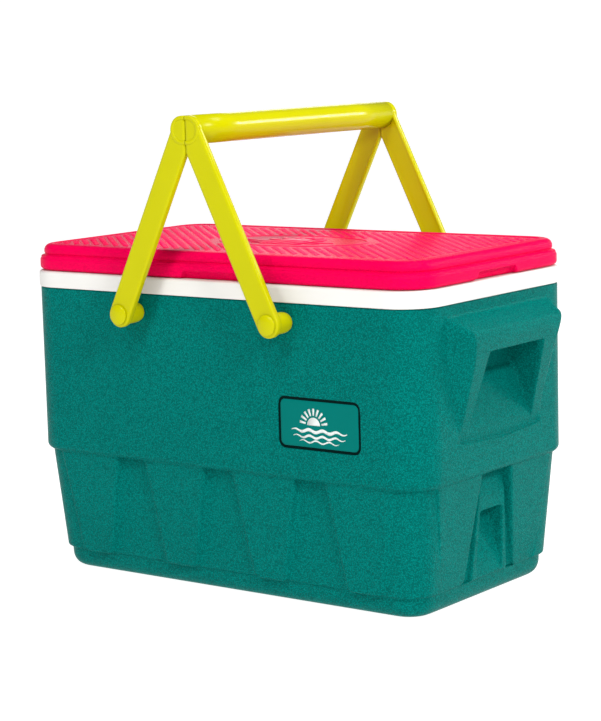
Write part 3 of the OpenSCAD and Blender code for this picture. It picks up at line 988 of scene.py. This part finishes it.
def ramp(tree, value, stops):
    node = tree.nodes.new("ShaderNodeValToRGB")
    elements = node.color_ramp.elements
    while len(elements) < len(stops):
        elements.new(0.5)
    for element, (place, colour) in zip(elements, stops):
        element.position = place
        element.color = (*colour, 1) if len(colour) == 3 else colour
    tree.links.new(value, node.inputs["Fac"])
    return node.outputs["Color"]


def bump(tree, shader, height, distance_mm):
    node = tree.nodes.new("ShaderNodeBump")
    node.inputs["Distance"].default_value = distance_mm * MM
    node.inputs["Strength"].default_value = 1.0
    tree.links.new(height, node.inputs["Height"])
    tree.links.new(node.outputs["Normal"], shader.inputs["Normal"])


def grained_plastic(name, colour, grain_mm, roughness, grain_shading_contrast, ior):
    """Moulded plastic with a pebbled leather grain: bump, painted shade darkening its valleys and painted
    light on its raised pebbles, and uneven gloss.
    """
    mat, tree, shader = new_material(name)
    coords = tree.nodes.new("ShaderNodeTexCoord").outputs["Object"]
    warp = tree.nodes.new("ShaderNodeTexNoise")
    warp.inputs["Scale"].default_value = GRAIN_SCALE * 0.5
    warp.inputs["Detail"].default_value = 2
    tree.links.new(coords, warp.inputs["Vector"])
    shift = tree.nodes.new("ShaderNodeVectorMath")
    shift.operation = "MULTIPLY_ADD"
    tree.links.new(warp.outputs["Color"], shift.inputs[0])
    shift.inputs[1].default_value = (1.6 / GRAIN_SCALE,) * 3
    tree.links.new(coords, shift.inputs[2])
    cells = tree.nodes.new("ShaderNodeTexVoronoi")
    cells.feature = "SMOOTH_F1"
    cells.inputs["Scale"].default_value = GRAIN_SCALE
    cells.inputs["Smoothness"].default_value = 0.4
    tree.links.new(shift.outputs["Vector"], cells.inputs["Vector"])
    grain = noise(tree, coords, GRAIN_SCALE * 1.5, 3, 0.65)
    pebbles = math_node(tree, "SUBTRACT", 0.8, cells.outputs["Distance"])
    height = math_node(tree, "ADD", math_node(tree, "MULTIPLY", pebbles, 0.6),
                       math_node(tree, "MULTIPLY", grain, 0.6))
    bump(tree, shader, height, grain_mm)
    # base colour follows the grain height: painted shade in the valleys and painted light on the raised
    # pebbles, plus a faint random tone from the broad noise
    broad = noise(tree, coords, 9, 3, 0.55)
    valley_shade_and_tone = math_node(tree, "ADD", math_node(tree, "MULTIPLY", height, 0.8),
                      math_node(tree, "ADD", math_node(tree, "MULTIPLY", broad, 0.06), 0.145))
    # low and high are the painted-shade and painted-light ends of the colour ramp
    low = tuple(c * (1 - 1.5 * grain_shading_contrast) for c in colour)
    high = tuple(min(1.0, c * (1 + grain_shading_contrast)) for c in colour)
    tree.links.new(ramp(tree, valley_shade_and_tone, [(0.5, low), (0.85, high)]), shader.inputs["Base Color"])
    rough = ramp(tree, grain, [(0.3, (roughness + 0.12,) * 3), (0.65, (roughness - 0.1,) * 3)])
    tree.links.new(rough, shader.inputs["Roughness"])
    shader.inputs["IOR"].default_value = ior
    return mat


def smooth_plastic(name, colour, roughness, ior):
    """Smooth moulded plastic: faint orange peel, uneven gloss and slight colour drift."""
    mat, tree, shader = new_material(name)
    coords = tree.nodes.new("ShaderNodeTexCoord").outputs["Object"]
    peel = noise(tree, coords, 900, 2, 0.5)
    bump(tree, shader, peel, ORANGE_PEEL_MM)
    broad = noise(tree, coords, 12, 3, 0.55)
    low = tuple(c * 0.97 for c in colour)
    high = tuple(min(1.0, c * 1.03) for c in colour)
    tree.links.new(ramp(tree, broad, [(0.3, low), (0.7, high)]), shader.inputs["Base Color"])
    rough = ramp(tree, noise(tree, coords, 45, 4, 0.6),
                 [(0.3, (roughness - 0.04,) * 3), (0.7, (roughness + 0.05,) * 3)])
    tree.links.new(rough, shader.inputs["Roughness"])
    shader.inputs["IOR"].default_value = ior
    return mat


def foam_material():
    """Open-looking yellowish foam."""
    mat, tree, shader = new_material("poured_foam")
    coords = tree.nodes.new("ShaderNodeTexCoord").outputs["Object"]
    cells = tree.nodes.new("ShaderNodeTexVoronoi")
    cells.inputs["Scale"].default_value = 700
    tree.links.new(coords, cells.inputs["Vector"])
    bump(tree, shader, cells.outputs["Distance"], 0.4)
    tone = ramp(tree, noise(tree, coords, 30, 4), [(0.3, (0.78, 0.66, 0.4)), (0.7, (0.86, 0.77, 0.53))])
    tree.links.new(tone, shader.inputs["Base Color"])
    shader.inputs["Roughness"].default_value = 0.9
    return mat


def assign(material, *nodes):
    """Gives CAD nodes, which keep their own meshes, a material."""
    for node in nodes:
        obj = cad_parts[node]
        obj.data.materials.clear()
        obj.data.materials.append(material)


# ---- stage ----

FLOOR_GLOW = 0.93
WORLD_GLOW = 0.12

# Area lights: name, place in metres, point aimed at, size in metres, watts
LIGHTS = (("key", (-0.2, -2.4, 1.7), (0, 0, 0.2), (0.8, 0.6), 17),
          ("front_top", (0.5, -1.6, 2.2), (0, 0.1, 0.3), (0.5, 0.5), 22),
          ("side", (2.4, -1.1, 1.8), (0, 0, 0.2), (0.6, 0.6), 46),
          ("top", (0.9, 0.2, 2.3), (0.1, 0, 0.2), (0.7, 0.7), 20),
          ("back_right", (1.3, 1.9, 1.15), (0.1, 0, 0.35), (0.45, 0.45), 26),
          ("back_left", (-1.4, 1.9, 1.0), (0, 0, 0.3), (0.6, 0.6), 3))

# Reference view: azimuth, elevation and roll in degrees, place in metres, focal length and sensor in mm
CAMERA_ANGLES = (37.13, 8.47, -1.555)
CAMERA_PLACE = (1.28398, -1.68901, 0.52304)
CAMERA_LENS = 109.64
CAMERA_SENSOR = 36


def add_floor():
    """Pale round floor whose rim curves up far away, so no edge shows behind the chest."""
    mat, tree, shader = new_material("pale_floor")
    coords = tree.nodes.new("ShaderNodeTexCoord").outputs["Object"]
    tone = ramp(tree, noise(tree, coords, 3, 4), [(0.3, (0.38, 0.38, 0.38)), (0.7, (0.40, 0.40, 0.40))])
    tree.links.new(tone, shader.inputs["Base Color"])
    shader.inputs["Roughness"].default_value = 0.95
    shader.inputs["Specular IOR Level"].default_value = 0.0
    shader.inputs["Emission Color"].default_value = (1, 1, 1, 1)
    shader.inputs["Emission Strength"].default_value = FLOOR_GLOW
    profile = [(0.9, 0), (3, 0), (6, 0), (6.5, 0.03), (7, 0.12), (7.5, 0.3), (8, 0.6), (8.4, 1.0), (8.6, 1.5)]
    steps = 96
    verts = [(r * math.cos(2 * math.pi * i / steps), r * math.sin(2 * math.pi * i / steps), z)
             for r, z in profile for i in range(steps)]
    faces = [tuple(range(steps))]
    for row in range(len(profile) - 1):
        for i in range(steps):
            j = (i + 1) % steps
            faces.append((row * steps + i, (row + 1) * steps + i, (row + 1) * steps + j, row * steps + j))
    mesh = bpy.data.meshes.new("floor")
    mesh.from_pydata(verts, [], faces)
    mesh.polygons.foreach_set("use_smooth", [True] * len(mesh.polygons))
    mesh.materials.append(mat)
    floor = bpy.data.objects.new("floor", mesh)
    bpy.context.scene.collection.objects.link(floor)


def add_area(name, position, target, size, watts):
    light = bpy.data.lights.new(name, "AREA")
    light.shape = "RECTANGLE"
    light.size, light.size_y = size
    light.energy = watts
    obj = bpy.data.objects.new(name, light)
    bpy.context.scene.collection.objects.link(obj)
    obj.location = position
    direction = Vector(target) - Vector(position)
    obj.rotation_euler = direction.to_track_quat("-Z", "Y").to_euler()


def add_world(strength):
    world = bpy.data.worlds.new("studio")
    world.use_nodes = True
    world.node_tree.nodes["Background"].inputs["Color"].default_value = (1, 1, 1, 1)
    world.node_tree.nodes["Background"].inputs["Strength"].default_value = strength
    bpy.context.scene.world = world


def add_camera():
    """Camera at the reference view."""
    azimuth, elevation, roll = map(math.radians, CAMERA_ANGLES)
    back = Vector((math.sin(azimuth) * math.cos(elevation), -math.cos(azimuth) * math.cos(elevation),
                   math.sin(elevation)))
    right = Vector((math.cos(azimuth), math.sin(azimuth), 0))
    up = back.cross(right)
    c, s = math.cos(roll), math.sin(roll)
    right, up = right * c + up * s, up * c - right * s
    camera = bpy.data.cameras.new("camera")
    camera.lens = CAMERA_LENS
    camera.sensor_width = CAMERA_SENSOR
    camera.clip_start, camera.clip_end = 0.05, 50
    obj = bpy.data.objects.new("camera", camera)
    x, y, z = CAMERA_PLACE
    obj.matrix_world = Matrix(((right.x, up.x, back.x, x), (right.y, up.y, back.y, y),
                               (right.z, up.z, back.z, z), (0, 0, 0, 1)))
    bpy.context.scene.collection.objects.link(obj)
    bpy.context.scene.camera = obj


def main():
    teal = grained_plastic("teal_grained", TEAL, 0.55, 0.26, 0.34, 1.065)
    pink = grained_plastic("pink_grained", PINK, 0.4, 0.28, 0.16, 1.08)
    pink_smooth = smooth_plastic("pink_satin", PINK_RELIEF, 0.30, 1.10)
    white = smooth_plastic("white_satin", WHITE, 0.42, 1.25)
    lime = smooth_plastic("lime_satin", LIME, 0.22, 1.2)
    badge = smooth_plastic("badge_satin", BADGE_TEAL, 0.4, 1.09)
    # painted shadow material for the ring in the badge groove
    groove_shadow = smooth_plastic("badge_groove_shadow_paint", GROOVE_SHADOW_PAINT, 0.5, 1.1)
    ink = smooth_plastic("badge_ink", INK_WHITE, 0.5, 1.2)
    grey = smooth_plastic("retainer_grey", GREY, 0.5, 1.4)
    foam = foam_material()

    build_outer_shell(teal)
    build_liner(white)
    build_lid_cover(pink)
    build_lid_dashes(pink_smooth)
    build_lid_motif(pink_smooth)
    build_handle("handle_left_skin", 1, lime, "left_bail", "handle_left")
    build_handle("handle_right_skin", -1, lime, "right_bail", "handle_right")
    build_pivots(lime)
    build_badge(badge)
    build_badge_groove_shadow(groove_shadow)
    build_badge_print(ink)
    assign(foam, "body_foam", "lid_foam")
    assign(white, "lid_liner")
    assign(grey, *[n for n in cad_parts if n.startswith("pin_retainer")])

    add_floor()
    add_world(WORLD_GLOW)
    for light in LIGHTS:
        add_area(*light)
    add_camera()
    bpy.context.scene.view_settings.view_transform = "Standard"


main()
